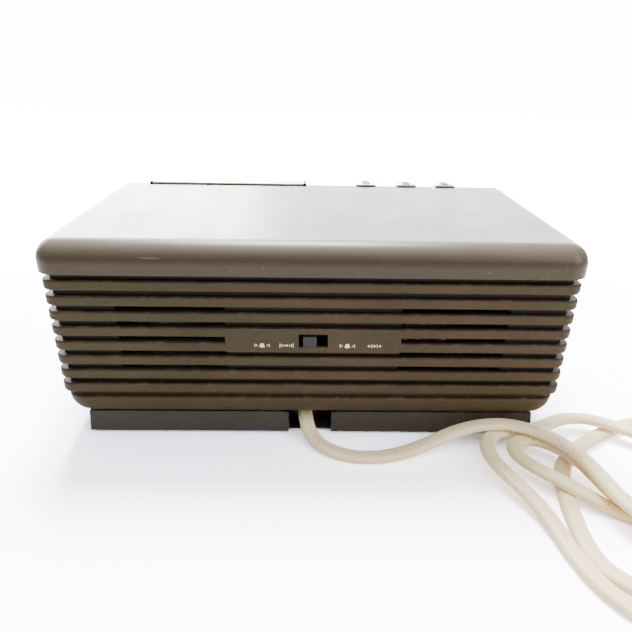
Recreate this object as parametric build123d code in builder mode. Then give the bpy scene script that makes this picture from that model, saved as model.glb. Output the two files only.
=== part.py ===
from build123d import *
import math
import os

os.makedirs("parts", exist_ok=True)

# Mains clock radio in a ribbed plastic case. Millimetres. The origin is on the table under the
# middle of the case, +Z is up, -Y is the front with the display, +Y is the back with the vents.

# ---- overall sizes ------------------------------------------------------------------------------
width = 248.0            # across the top cover
depth = 140.0            # case, front panel to back edge of the cover
knob_reach = 8.0         # front knobs, ahead of the front panel
height = 104.0           # flat top above the table
wall = 2.5               # moulded wall
skin = 5.0               # ribbed wall, groove depth included
clearance = 0.3          # around everything that moves
fit_gap = 0.2            # between fixed pieces that fit together
running = 0.05           # radial clearance of a shaft in its bush

back = (depth + knob_reach) / 2
front = back - depth
across = width / 248.0   # layout of the front and the inside, sideways
along = depth / 140.0    # layout of the inside, front to back

# ---- top cover ----------------------------------------------------------------------------------
cover_height = 14.5
cover_round = 9.5
cover_corner = 10.0
key_deck = 20.0          # front to back, ahead of the step up to the flat top
deck_step = 3.0
cover_bottom = height - cover_height
deck_top = height - deck_step
deck_low = deck_top - wall
ridge = front + key_deck
lip = 3.5                # shell lip inside the cover

# ---- ribbed shell -------------------------------------------------------------------------------
rib_inset = 1.6          # ribs stand this far inside the cover
rib_pitch = 7.6
groove_high = 2.9
groove_deep = 3.0
groove_count = 9
rib_round = 0.9
rib_corner = 6.0
band_round = 2 * rib_corner  # under the plain band at the foot of the shell
half_shell = width / 2 - rib_inset
shell_back = back - rib_inset
top_groove = cover_bottom - 1.9
shell_bottom = 13.0
band_top = top_groove - (groove_count - 1) * rib_pitch - groove_high / 2
slot_in = 41.1 * across  # vent slots, from the middle outwards
slot_out = 91.4 * across
shell_run = 300.0        # drawn this long, then cut off behind the front panel
vented = range(2, 7)     # grooves with vent slots
floor_thick = 2.5
floor_ring = 14.4        # shell floor, from the outside of the ribs inwards
inner_half = half_shell - skin
inner_back = shell_back - skin

# ---- front panel --------------------------------------------------------------------------------
bezel_thick = 3.0
bezel_rim = 5.0
bezel_round = 2.0
bezel_back = front + bezel_thick
window_left = -inner_half + 5.4
window_right = 38.0 * across
window_bottom = 28.0
window_top = 82.0
speaker_x = 78.0 * across
speaker_z = 60.0
speaker_r = 22.0
grille_wide = 60.0 * across
grille_tall = 45.0
louvre_count = 9

# ---- base pan -----------------------------------------------------------------------------------
foot_drop = 1.5
plinth_side = 10.0       # case side to plinth side
plinth_back = 7.0
plinth_front = 6.0
plinth_draft = 4.0
plinth_half = width / 2 - plinth_side
notch_wide = 22.0
notch_x = 1.0
notch_deep = 13.0
pan_back = back - plinth_back
pan_front = front + plinth_front
pan_floor = foot_drop + wall
boss_in = 13.0
boss_r = 4.5
screw_r = 1.5
screw_head_r = 2.8
foot_r = 6.5
foot_sink = 0.5
foot_x = plinth_half - 30.0
foot_y = (pan_front + 22.0, pan_back - 22.0)
screw_x = plinth_half - boss_in
screw_y = (pan_front + 22.0, pan_back - 13.0)

# ---- keys ---------------------------------------------------------------------------------------
key_stand = 4.0          # key top above the deck
key_travel = 2.0
key_deep = 10.0
key_wide = 12.8
snooze_wide = 99.0 * across
snooze_x = 53.5 * across
key_x = {"hour": -34.0 * across, "minute": -59.7 * across, "alarm": -84.5 * across}
key_y = (front + ridge) / 2
flange_out = 1.1
flange_thick = 1.4
stem_r = 1.8
spring_r = 4.9
spring_wire = 0.7
spring_turns = 4
board_thick = 1.6
key_top = deck_top + key_stand
flange_top = deck_low - clearance
flange_low = flange_top - flange_thick
key_board_top = deck_low - 12.9
switch_top = key_board_top + 5.4
key_board_deep = 10.8

# ---- tuning drive -------------------------------------------------------------------------------
knob_r = 8.6
knob_z = 26.6
tuning_x = 60.0 * across
volume_x = 96.0 * across
shaft_r = 3.0
drum_r = 8.0
drum_y = front + 19.0
drum_thick = 4.0
pulley_r = 5.0
pulley_z = 45.5
pulley_left = -inner_half + 6.9
pulley_right = window_right + 4.5
rail_r = 1.0
rail_z = 46.0
pointer_x = -36.0 * across
dial_top = 43.0
string_thick = 0.8

# ---- cord ---------------------------------------------------------------------------------------
cord_wide = 7.4
cord_high = 4.4
cord_length = 1800.0     # from the strain relief to the plug
cord_x = 3.5
cord_z = pan_floor + 4.3
relief_wide = 11.0
relief_high = 7.0
coil_mid_r = 38.0
coil_x = -272.0
coil_y = 118.0

# ---- back switch --------------------------------------------------------------------------------
switch_z = top_groove - 4 * rib_pitch
aperture_wide = 13.7
aperture_high = 6.8
slider_wide = 6.2
slider_travel = 3.2
slider_reach = 1.3       # ahead of the ribs


def keep(part, name):
    part.label = name
    export_step(part, "parts/" + name + ".step")


# ======== case ===================================================================================
with BuildPart() as top_cover:
    with BuildSketch(Plane.XY.offset(cover_bottom)):
        with Locations((0, (front + back) / 2)):
            Rectangle(width, depth)
    extrude(amount=cover_height)
    back_corners = top_cover.edges().filter_by(Axis.Z).group_by(Axis.Y)[-1]
    fillet(back_corners, cover_corner)
    top_face = top_cover.faces().sort_by(Axis.Z)[-1]
    round_edges = top_face.edges().filter_by(lambda e: e.center().Y > front + 1)
    fillet(round_edges, cover_round)
    with BuildSketch(Plane.XY.offset(deck_top)):
        with Locations((0, front + (ridge - front) / 2)):
            Rectangle(width + 2, ridge - front)
    extrude(amount=deck_step + 1, mode=Mode.SUBTRACT)
    with BuildSketch(Plane.XY.offset(cover_bottom)):
        with Locations((0, (front + back) / 2)):
            RectangleRounded(width - 2 * wall, depth - 2 * wall, cover_corner - wall)
        with Locations((0, front + wall + depth / 4)):
            Rectangle(width - 2 * wall, depth / 2)
    extrude(amount=deck_low - cover_bottom, mode=Mode.SUBTRACT)
    with BuildSketch(Plane.XY.offset(deck_low - 0.01)):
        with Locations((0, (ridge + back) / 2)):
            Rectangle(width - 2 * cover_round, back - ridge - 2 * cover_round)
    extrude(amount=deck_step + 0.01, mode=Mode.SUBTRACT)
    with BuildSketch(Plane.XY.offset(deck_low - 1)):
        with Locations((snooze_x, key_y)):
            Rectangle(snooze_wide + 2 * clearance, key_deep + 2 * clearance)
        with Locations(*[(x, key_y) for x in key_x.values()]):
            Rectangle(key_wide + 2 * clearance, key_deep + 2 * clearance)
    extrude(amount=wall + 2, mode=Mode.SUBTRACT)
keep(top_cover.part, "top_cover")

with BuildPart() as shell_core:
    # plain band at the foot
    with BuildSketch(Plane.XY.offset(shell_bottom)):
        with Locations((0, shell_back - shell_run / 2)):
            RectangleRounded(2 * half_shell, shell_run, 2 * rib_corner)
    extrude(amount=band_top - shell_bottom)
    band_low = shell_core.faces().sort_by(Axis.Z)[0]
    fillet(band_low.edges(), band_round - 0.8)
    band_high = shell_core.faces().sort_by(Axis.Z)[-1]
    fillet(band_high.edges(), rib_round)
    # core behind the grooves
    with BuildSketch(Plane.XY.offset(shell_bottom + band_round)):
        with Locations((0, shell_back - groove_deep - shell_run / 2)):
            RectangleRounded(2 * (half_shell - groove_deep), shell_run, rib_corner - 2)
    extrude(amount=cover_bottom - shell_bottom - band_round)
rib_solids = []
for row in range(groove_count - 1):
    rib_low = top_groove - row * rib_pitch - rib_pitch + groove_high / 2
    with BuildPart() as rib:
        with BuildSketch(Plane.XY.offset(rib_low)):
            with Locations((0, shell_back - shell_run / 2)):
                RectangleRounded(2 * half_shell, shell_run, rib_corner)
        extrude(amount=rib_pitch - groove_high)
        fillet(rib.faces().sort_by(Axis.Z)[-1].edges(), rib_round)
        fillet(rib.faces().sort_by(Axis.Z)[0].edges(), rib_round)
    rib_solids.append(rib.part)

panel_low = top_groove - 5 * rib_pitch + groove_high / 2
panel_high = top_groove - 3 * rib_pitch - groove_high / 2
with BuildPart() as lower_shell:
    add(shell_core.part)
    add(rib_solids)
    # flat panel round the back switch
    with BuildSketch(Plane.XY.offset(panel_low)):
        with Locations((0, shell_back - skin / 2)):
            Rectangle(2 * slot_in, skin)
    extrude(amount=panel_high - panel_low)
    # seat under the cover's edge, and the lip that the cover drops over
    with BuildSketch(Plane.XY.offset(top_groove + groove_high / 2)):
        with Locations((0, shell_back - shell_run / 2)):
            RectangleRounded(2 * half_shell, shell_run, rib_corner)
    extrude(amount=cover_bottom - top_groove - groove_high / 2)
    with BuildSketch(Plane.XY.offset(cover_bottom)):
        with Locations((0, shell_back - shell_run / 2)):
            lip_in = wall + fit_gap - rib_inset
            RectangleRounded(2 * (half_shell - lip_in), shell_run - 2 * lip_in, cover_corner - wall)
    extrude(amount=lip)
    # hollow inside, open at the front and the top
    with BuildSketch(Plane.XY.offset(shell_bottom + floor_thick)):
        with Locations((0, inner_back - shell_run / 2)):
            RectangleRounded(2 * inner_half, shell_run, 2.0)
    extrude(amount=height, mode=Mode.SUBTRACT)
    with BuildSketch(Plane.XY.offset(shell_bottom - 1)):
        with Locations((0, bezel_back - shell_run / 2)):
            Rectangle(2 * width, shell_run)
    extrude(amount=height, mode=Mode.SUBTRACT)
    # floor opening above the pan, with four corner pads for the case screws
    with BuildSketch(Plane.XY.offset(shell_bottom - 1)):
        opening_back = pan_back - wall - 3.5
        opening_front = pan_front + wall + 3.5
        with Locations((0, (opening_back + opening_front) / 2)):
            Rectangle(2 * (half_shell - floor_ring), opening_back - opening_front)
        with Locations(*[(s * screw_x, y) for s in (-1, 1) for y in screw_y]):
            Rectangle(2 * boss_in, 2 * boss_r + 9, mode=Mode.SUBTRACT)
    extrude(amount=floor_thick + 2, mode=Mode.SUBTRACT)
    with BuildSketch(Plane.XY.offset(shell_bottom + floor_thick)):
        with Locations(*[(s * screw_x, y) for s in (-1, 1) for y in screw_y]):
            Circle(boss_r)
    extrude(amount=8)
    with BuildSketch(Plane.XY.offset(shell_bottom - 1)):
        with Locations(*[(s * screw_x, y) for s in (-1, 1) for y in screw_y]):
            Circle(screw_r + running)
    extrude(amount=10, mode=Mode.SUBTRACT)
    # vent slots through the grooves
    for row in vented:
        with BuildSketch(Plane.XY.offset(top_groove - row * rib_pitch - groove_high / 2)):
            with Locations(*[(s * (slot_in + slot_out) / 2, shell_back) for s in (-1, 1)]):
                Rectangle(slot_out - slot_in, 2 * skin + 2)
        extrude(amount=groove_high, mode=Mode.SUBTRACT)
    # window for the back switch
    with BuildSketch(Plane.XZ.offset(-shell_back - 1)):
        with Locations((0, switch_z)):
            Rectangle(aperture_wide, aperture_high)
    extrude(amount=skin + 2, mode=Mode.SUBTRACT)
keep(lower_shell.part, "lower_shell")

# ======== base pan, feet and screws ==============================================================
notch_back = pan_back - notch_deep
with BuildPart() as base_pan:
    with BuildSketch(Plane.XY.offset(foot_drop)):
        with Locations((0, (pan_front + pan_back) / 2)):
            Rectangle(2 * plinth_half, pan_back - pan_front)
    extrude(amount=shell_bottom - foot_drop, taper=plinth_draft)
    with BuildSketch(Plane.XY.offset(pan_floor)):
        with Locations((0, (pan_front + pan_back) / 2)):
            Rectangle(2 * (plinth_half - 2 * wall), pan_back - pan_front - 4 * wall)
    extrude(amount=height, mode=Mode.SUBTRACT)
    # screw bosses
    with BuildSketch(Plane.XY.offset(foot_drop)):
        with Locations(*[(s * screw_x, y) for s in (-1, 1) for y in screw_y]):
            Circle(boss_r)
    extrude(amount=shell_bottom - foot_drop)
    # pocket for the cord, open behind and below, with its own walls
    with BuildSketch(Plane.XY.offset(foot_drop)):
        with Locations((notch_x, pan_back - wall / 2 - (notch_deep + wall) / 2)):
            Rectangle(notch_wide + 2 * wall, notch_deep)
    extrude(amount=shell_bottom - foot_drop)
    with BuildSketch(Plane.XY.offset(foot_drop - 1)):
        with Locations((notch_x, notch_back + notch_deep)):
            Rectangle(notch_wide, 2 * notch_deep)
    extrude(amount=height, mode=Mode.SUBTRACT)
    # screw holes with sunk heads, and shallow seats for the feet
    with BuildSketch(Plane.XY.offset(foot_drop - 1)):
        with Locations(*[(s * screw_x, y) for s in (-1, 1) for y in screw_y]):
            Circle(screw_head_r + clearance)
    extrude(amount=4, mode=Mode.SUBTRACT)
    with BuildSketch(Plane.XY.offset(foot_drop)):
        with Locations(*[(s * screw_x, y) for s in (-1, 1) for y in screw_y]):
            Circle(screw_r + clearance)
    extrude(amount=height, mode=Mode.SUBTRACT)
    with BuildSketch(Plane.XY.offset(foot_drop)):
        with Locations(*[(s * foot_x, y) for s in (-1, 1) for y in foot_y]):
            Circle(foot_r)
    extrude(amount=foot_sink, mode=Mode.SUBTRACT)
    # hole for the strain relief through the pocket's front wall
    with BuildSketch(Plane.XZ.offset(-notch_back - 1)):
        with Locations((cord_x, cord_z)):
            RectangleRounded(relief_wide, relief_high, 2.0)
    extrude(amount=2 * wall + 2, mode=Mode.SUBTRACT)
keep(base_pan.part, "base_pan")

for number, (side, y) in enumerate([(s, y) for s in (-1, 1) for y in foot_y], start=1):
    with BuildPart() as foot:
        with BuildSketch(Plane.XY):
            with Locations((side * foot_x, y)):
                Circle(foot_r)
        extrude(amount=foot_drop + foot_sink)
        fillet(foot.faces().sort_by(Axis.Z)[0].edges(), 0.6)
    keep(foot.part, f"foot_{number}")

head_deep = 2.0
head_top = foot_drop + 3.0
slot_long = 3.4
slot_wide = 0.8
with BuildPart() as case_screws:
    for side in (-1, 1):
        for y in screw_y:
            with BuildSketch(Plane.XY.offset(head_top)):
                with Locations((side * screw_x, y)):
                    Circle(screw_head_r)
            extrude(amount=-head_deep)
            with BuildSketch(Plane.XY.offset(head_top)):
                with Locations((side * screw_x, y)):
                    Circle(screw_r)
            extrude(amount=shell_bottom + 8 - head_top)
            with BuildSketch(Plane.XY.offset(head_top - head_deep)):
                with Locations((side * screw_x, y)):
                    Rectangle(slot_long, slot_wide)
                    Rectangle(slot_wide, slot_long)
            extrude(amount=1.0, mode=Mode.SUBTRACT)
keep(case_screws.part, "case_screws")

# ======== front ==================================================================================
window_x = (window_left + window_right) / 2
window_z = (window_bottom + window_top) / 2
window_wide = window_right - window_left
window_tall = window_top - window_bottom
front_plane = Plane.XZ.offset(-front)
bezel_low = shell_bottom
bezel_tall = cover_bottom - bezel_low
lever_z = 22.0
lever_slot = 14.0
lever_high = 3.0
band_x = -90.0 * across
mode_x = -50.0 * across
lever_travel = 6.0
with BuildPart() as front_bezel:
    with BuildSketch(front_plane):
        with Locations((0, bezel_low + bezel_tall / 2)):
            Rectangle(2 * half_shell, bezel_tall)
    extrude(amount=-bezel_thick)
    fillet(front_bezel.faces().sort_by(Axis.Y)[0].edges(), bezel_round)
    # rim that plugs into the shell, open at the top below the keys
    rim_half = inner_half - fit_gap
    rim_low = shell_bottom + floor_thick + fit_gap
    rim_tall = key_board_top - board_thick - 2 - rim_low
    with BuildSketch(Plane.XZ.offset(-bezel_back)):
        with Locations((0, rim_low + rim_tall / 2)):
            Rectangle(2 * rim_half, rim_tall)
        with Locations((0, rim_low + wall + rim_tall / 2)):
            Rectangle(2 * rim_half - 2 * wall, rim_tall, mode=Mode.SUBTRACT)
    extrude(amount=-bezel_rim)
    # openings: window, grille, shafts, lever slots
    with BuildSketch(Plane.XZ.offset(-front + 1)):
        with Locations((window_x, window_z)):
            Rectangle(window_wide, window_tall)
        with Locations((speaker_x, speaker_z)):
            RectangleRounded(grille_wide, grille_tall, 3.0)
        with Locations((tuning_x, knob_z), (volume_x, knob_z)):
            Circle(shaft_r + 2 * clearance)
        with Locations((band_x, lever_z), (mode_x, lever_z)):
            Rectangle(lever_slot, lever_high)
    extrude(amount=-bezel_thick - 1, mode=Mode.SUBTRACT)
keep(front_bezel.part, "front_bezel")

with BuildPart() as display_window:
    with BuildSketch(Plane.XZ.offset(-front - 0.5)):
        with Locations((window_x, window_z)):
            Rectangle(window_wide - 2 * fit_gap, window_tall - 2 * fit_gap)
    extrude(amount=-bezel_thick + 0.5)
    with BuildSketch(Plane.XZ.offset(-bezel_back)):
        with Locations((window_x, window_z)):
            Rectangle(window_wide + 4, window_tall + 4)
    extrude(amount=-1.5)
    fillet(display_window.faces().sort_by(Axis.Y)[0].edges(), 0.4)
keep(display_window.part, "display_window")

with BuildPart() as speaker_grille:
    with BuildSketch(Plane.XZ.offset(-front - 0.4)):
        with Locations((speaker_x, speaker_z)):
            RectangleRounded(grille_wide - 2 * fit_gap, grille_tall - 2 * fit_gap, 2.8)
    extrude(amount=-bezel_thick + 0.4)
    louvre_pitch = (grille_tall - 6) / louvre_count
    with BuildSketch(Plane.XZ.offset(-front + 1)):
        with Locations((speaker_x, speaker_z)):
            with GridLocations(0, louvre_pitch, 1, louvre_count):
                SlotOverall(grille_wide - 8, louvre_pitch * 0.5)
    extrude(amount=-bezel_thick - 3, mode=Mode.SUBTRACT)
keep(speaker_grille.part, "speaker_grille")

# ======== keys on the deck =======================================================================
def key_body(name, x, wide, stems):
    with BuildPart() as key:
        with BuildSketch(Plane.XY.offset(flange_top - 0.2)):
            with Locations((x, key_y)):
                RectangleRounded(wide, key_deep, 1.2)
        extrude(amount=key_top - flange_top + 0.2)
        fillet(key.faces().sort_by(Axis.Z)[-1].edges(), 0.8)
        with BuildSketch(Plane.XY.offset(flange_low)):
            with Locations((x, key_y)):
                Rectangle(wide + 2 * flange_out + 2 * clearance, key_deep + 2 * flange_out + 2 * clearance)
        extrude(amount=flange_thick)
        with BuildSketch(Plane.XY.offset(switch_top + key_travel + 0.2)):
            with Locations(*[(x + dx, key_y) for dx in stems]):
                Circle(stem_r)
        extrude(amount=flange_low - switch_top - key_travel - 0.2)
    keep(key.part, name)



snooze_stems = (-0.38 * snooze_wide, 0.38 * snooze_wide)
key_body("snooze_bar", snooze_x, snooze_wide, snooze_stems)
for name, x in key_x.items():
    key_body(name + "_button", x, key_wide, (0,))

springs = {"snooze": [snooze_x + dx for dx in snooze_stems]}
for name, x in key_x.items():
    springs[name] = [x]
for name, places in springs.items():
    with BuildPart() as spring:
        for x in places:
            helix_high = flange_low - key_board_top - spring_wire
            coil_path = Helix(
                pitch=helix_high / spring_turns, height=helix_high, radius=spring_r,
                center=(x, key_y, key_board_top + spring_wire / 2), mode=Mode.PRIVATE,
            )
            with BuildSketch(Plane(origin=coil_path @ 0, z_dir=coil_path % 0)):
                Circle(spring_wire / 2)
            sweep(path=coil_path, is_frenet=True)
    keep(spring.part, name + "_spring")

board_left = min(key_x.values()) - key_wide / 2 - 8
board_right = snooze_x + snooze_wide / 2 + 8
with BuildPart() as key_board:
    with BuildSketch(Plane.XY.offset(key_board_top - board_thick)):
        with Locations(((board_left + board_right) / 2, key_y)):
            Rectangle(board_right - board_left, key_board_deep)
    extrude(amount=board_thick)
    # stand-offs up to the deck's underside
    with BuildSketch(Plane.XY.offset(key_board_top)):
        with Locations(((key_x["hour"] + snooze_x - snooze_wide / 2) / 2, key_y)):
            Circle(1.6)
        with Locations((board_left + 3, key_y), (board_right - 3, key_y)):
            Circle(1.6)
    extrude(amount=deck_low - key_board_top)
keep(key_board.part, "key_board")

with BuildPart() as tact_switches:
    for x in list(key_x.values()) + springs["snooze"]:
        with BuildSketch(Plane.XY.offset(key_board_top)):
            with Locations((x, key_y)):
                Rectangle(5.6, 5.6)
        extrude(amount=3.6)
        with BuildSketch(Plane.XY.offset(key_board_top + 3.6)):
            with Locations((x, key_y)):
                Circle(1.6)
        extrude(amount=switch_top - key_board_top - 3.6)
keep(tact_switches.part, "tact_switches")

# ======== knobs and the tuning drive =============================================================
def ridged_knob(name, x, shaft_end, drum):
    with BuildPart() as knob:
        with BuildSketch(Plane.XZ.offset(-front + knob_reach)):
            with Locations((x, knob_z)):
                Circle(knob_r)
        extrude(amount=-knob_reach + clearance)
        fillet(knob.faces().sort_by(Axis.Y)[0].edges(), 1.0)
        # grip flutes round the rim, and a pointer line on the face
        with BuildSketch(Plane.XZ.offset(-front + knob_reach - 1.6)):
            with Locations((x, knob_z)):
                with PolarLocations(knob_r + 0.3, 24):
                    Circle(0.7)
        extrude(amount=-knob_reach, mode=Mode.SUBTRACT)
        with BuildSketch(Plane.XZ.offset(-front + knob_reach)):
            with Locations((x, knob_z + knob_r * 0.6)):
                Rectangle(1.0, knob_r * 0.6)
        extrude(amount=-0.5, mode=Mode.SUBTRACT)
        with BuildSketch(Plane.XZ.offset(-front + 1)):
            with Locations((x, knob_z)):
                Circle(shaft_r)
        extrude(amount=front - 1 - shaft_end)
        if drum:
            with BuildSketch(Plane.XZ.offset(-drum_y + drum_thick / 2)):
                with Locations((x, knob_z)):
                    Circle(drum_r + 1.2)
            extrude(amount=-drum_thick)
            with BuildSketch(Plane.XZ.offset(-drum_y + drum_thick / 2 - 1)):
                with Locations((x, knob_z)):
                    Circle(drum_r + 3)
                    Circle(drum_r, mode=Mode.SUBTRACT)
            extrude(amount=-drum_thick + 2, mode=Mode.SUBTRACT)
    keep(knob.part, name)


ridged_knob("volume_knob", volume_x, bezel_back + 9, False)
ridged_knob("tuning_knob", tuning_x, drum_y + drum_thick / 2 + 1, True)

pot_deep = 10.0
pot_wide = 15.0
bush_deep = 4.0
for name, x, deep, bored in (
    ("volume_pot", volume_x, pot_deep, pot_deep),
    ("tuning_bush", tuning_x, bush_deep, bush_deep + 4),
):
    with BuildPart() as bush:
        with BuildSketch(Plane.XZ.offset(-bezel_back)):
            with Locations((x, knob_z)):
                Circle(shaft_r + 1.5)
        extrude(amount=-2)
        with BuildSketch(Plane.XZ.offset(-bezel_back - 2)):
            with Locations((x, knob_z)):
                Rectangle(pot_wide, pot_wide)
        extrude(amount=-deep)
        with BuildSketch(Plane.XZ.offset(-bezel_back + 1)):
            with Locations((x, knob_z)):
                Circle(shaft_r + running)
        extrude(amount=-bored, mode=Mode.SUBTRACT)
    keep(bush.part, name)

dial_y = bezel_back + bezel_rim + 0.4
dial_thick = 1.2
rail_y = drum_y
dial_low = shell_bottom + floor_thick
tab_top = pulley_z + pulley_r + 2
ear_thick = 2.5
ear_left = pulley_left + pulley_r + 1.5
ear_right = pulley_right - pulley_r - 1.5 - ear_thick
dial_left = pulley_left - pulley_r
dial_right = pulley_right + pulley_r + 1.0
with BuildPart() as dial_plate:
    with BuildSketch(Plane.XZ.offset(-dial_y)):
        with Locations(((dial_left + dial_right) / 2, (dial_low + dial_top) / 2)):
            Rectangle(dial_right - dial_left, dial_top - dial_low)
        for tab_from, tab_to in ((dial_left, ear_left + ear_thick), (ear_right, dial_right)):
            with Locations(((tab_from + tab_to) / 2, (dial_low + tab_top) / 2)):
                Rectangle(tab_to - tab_from, tab_top - dial_low)
        with Locations((band_x, lever_z), (mode_x, lever_z)):
            Rectangle(lever_slot + 8, 7.5, mode=Mode.SUBTRACT)
    extrude(amount=-dial_thick)
    # ears that hold the rail
    for ear in (ear_left, ear_right):
        with BuildSketch(Plane.XZ.offset(-dial_y - dial_thick)):
            with Locations((ear + ear_thick / 2, rail_z)):
                Rectangle(ear_thick, 6.0)
        extrude(amount=-(rail_y + 3 - dial_y - dial_thick))
    with BuildSketch(Plane.YZ.offset(ear_left - 1)):
        with Locations((rail_y, rail_z)):
            Circle(rail_r)
    extrude(amount=ear_right + ear_thick - ear_left + 2, mode=Mode.SUBTRACT)
    # pulley pins
    with BuildSketch(Plane.XZ.offset(-dial_y - dial_thick)):
        with Locations((pulley_left, pulley_z), (pulley_right, pulley_z)):
            Circle(1.5)
    extrude(amount=-(rail_y + 3 - dial_y - dial_thick))
keep(dial_plate.part, "dial_plate")

with BuildPart() as pointer_rail:
    with BuildSketch(Plane.YZ.offset(ear_left)):
        with Locations((rail_y, rail_z)):
            Circle(rail_r)
    extrude(amount=ear_right + ear_thick - ear_left)
keep(pointer_rail.part, "pointer_rail")

blade_y = bezel_back + 3.0
with BuildPart() as dial_pointer:
    with BuildSketch(Plane.YZ.offset(pointer_x - 3)):
        with Locations((rail_y, rail_z)):
            Rectangle(5.0, 4.4)
    extrude(amount=6)
    with BuildSketch(Plane.YZ.offset(pointer_x - 1)):
        with Locations(((blade_y + rail_y) / 2, (dial_top + clearance + rail_z + 2.2) / 2)):
            Rectangle(rail_y - blade_y, rail_z + 2.2 - dial_top - clearance)
    extrude(amount=2)
    with BuildSketch(Plane.XZ.offset(-blade_y)):
        with Locations((pointer_x, (window_bottom + 2 + rail_z + 2.2) / 2)):
            Rectangle(1.2, rail_z + 0.2 - window_bottom)
    extrude(amount=-1.0)
    with BuildSketch(Plane.YZ.offset(pointer_x - 4)):
        with Locations((rail_y, rail_z)):
            Circle(rail_r + running)
    extrude(amount=8, mode=Mode.SUBTRACT)
keep(dial_pointer.part, "dial_pointer")

for name, x in (("pulley_left", pulley_left), ("pulley_right", pulley_right)):
    with BuildPart() as pulley:
        with BuildSketch(Plane.XZ.offset(-rail_y + 1.5)):
            with Locations((x, pulley_z)):
                Circle(pulley_r)
                Circle(1.5 + running, mode=Mode.SUBTRACT)
        extrude(amount=-3)
        with BuildSketch(Plane.XZ.offset(-rail_y + 0.6)):
            with Locations((x, pulley_z)):
                Circle(pulley_r + 1)
                Circle(pulley_r - 0.8, mode=Mode.SUBTRACT)
        extrude(amount=-1.2, mode=Mode.SUBTRACT)
    keep(pulley.part, name)

loop_gap = 0.15
with BuildPart() as dial_string:
    with BuildSketch(Plane.XZ.offset(-rail_y + string_thick / 2)):
        with Locations((pulley_left, pulley_z), (pulley_right, pulley_z)):
            Circle(pulley_r - 0.8 + loop_gap + string_thick)
        with Locations((tuning_x, knob_z)):
            Circle(drum_r + loop_gap + string_thick)
        make_hull()
        offset(amount=-string_thick, mode=Mode.SUBTRACT)
    extrude(amount=-string_thick)
keep(dial_string.part, "dial_string")

# ======== lever switches =========================================================================
for name, x in (("band_lever", band_x), ("mode_lever", mode_x)):
    rest_x = x - lever_travel / 2
    with BuildPart() as lever:
        with BuildSketch(Plane.XZ.offset(-front + 4)):
            with Locations((rest_x, lever_z)):
                Rectangle(4.0, lever_high - 2 * clearance)
        extrude(amount=-bezel_thick - 4 - 0.5)
        fillet(lever.edges().filter_by(Axis.Z).group_by(Axis.Y)[0], 0.8)
        with BuildSketch(Plane.XZ.offset(-bezel_back - clearance)):
            with Locations((rest_x, lever_z)):
                Rectangle(lever_slot - lever_travel - 3, 5.0)
        extrude(amount=-2)
    keep(lever.part, name)

# ======== boards and parts inside ================================================================
board_z = shell_bottom + 4.0
board_x = -22.0 * across
board_y = 8.0 * along
board_wide = 136.0 * across
board_deep = 84.0 * along
leg_in = 12.0
with BuildPart() as main_board:
    with BuildSketch(Plane.XY.offset(board_z)):
        with Locations((board_x, board_y)):
            Rectangle(board_wide, board_deep)
    extrude(amount=board_thick)
    with BuildSketch(Plane.XY.offset(pan_floor)):
        with Locations((board_x, board_y - 4)):
            with GridLocations(board_wide - 2 * leg_in, board_deep - 20, 2, 2):
                Circle(2.5)
    extrude(amount=board_z - pan_floor)
keep(main_board.part, "main_board")

parts_z = board_z + board_thick
capacitors = ((20.0, 30.0, 8.0, 26.0), (36.0, 12.0, 5.0, 16.0), (20.0, 2.0, 4.0, 12.0))
with BuildPart() as electrolytics:
    for x, y, r, tall in capacitors:
        with BuildSketch(Plane.XY.offset(parts_z)):
            with Locations((x * across, y * along)):
                Circle(r)
        extrude(amount=tall)
        with BuildSketch(Plane.XY.offset(parts_z + tall - 0.6)):
            with Locations((x * across, y * along)):
                Rectangle(1.2 * r, 0.6)
                Rectangle(0.6, 1.2 * r)
        extrude(amount=0.6, mode=Mode.SUBTRACT)
keep(electrolytics.part, "electrolytics")

can_side = 10.0
can_tall = 12.0
can_y = 20.0
with BuildPart() as if_cans:
    for x in (-72.0, -58.0, -44.0, -30.0):
        with BuildSketch(Plane.XY.offset(parts_z)):
            with Locations((x * across, can_y * along)):
                RectangleRounded(can_side, can_side, 0.8)
        extrude(amount=can_tall)
        with BuildSketch(Plane.XY.offset(parts_z + can_tall - 2)):
            with Locations((x * across, can_y * along)):
                Circle(2.4)
        extrude(amount=2, mode=Mode.SUBTRACT)
keep(if_cans.part, "if_cans")

gang_side = 20.0
gang_tall = 14.0
gang_place = (-10.0 * across, -18.0 * along)
with BuildPart() as tuning_capacitor:
    with BuildSketch(Plane.XY.offset(parts_z)):
        with Locations(gang_place):
            RectangleRounded(gang_side, gang_side, 1.5)
    extrude(amount=gang_tall)
    with BuildSketch(Plane.XY.offset(parts_z + gang_tall)):
        with Locations(gang_place):
            Circle(3.0)
    extrude(amount=5)
keep(tuning_capacitor.part, "tuning_capacitor")

chip_x = 34.0 * across
chip_y = -14.0 * along
with BuildPart() as audio_chip:
    with BuildSketch(Plane.XY.offset(parts_z)):
        with Locations((chip_x, chip_y)):
            Rectangle(8.0, 20.0)
    extrude(amount=4)
    for row in range(5):
        with BuildSketch(Plane.XY.offset(parts_z + 4)):
            with Locations((chip_x, chip_y - 8 + 4 * row)):
                Rectangle(16.0, 1.2)
        extrude(amount=14)
    with BuildSketch(Plane.XY.offset(parts_z + 4)):
        with Locations((chip_x, chip_y)):
            Rectangle(16.0, 17.2)
    extrude(amount=1.5)
keep(audio_chip.part, "audio_chip")

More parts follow.
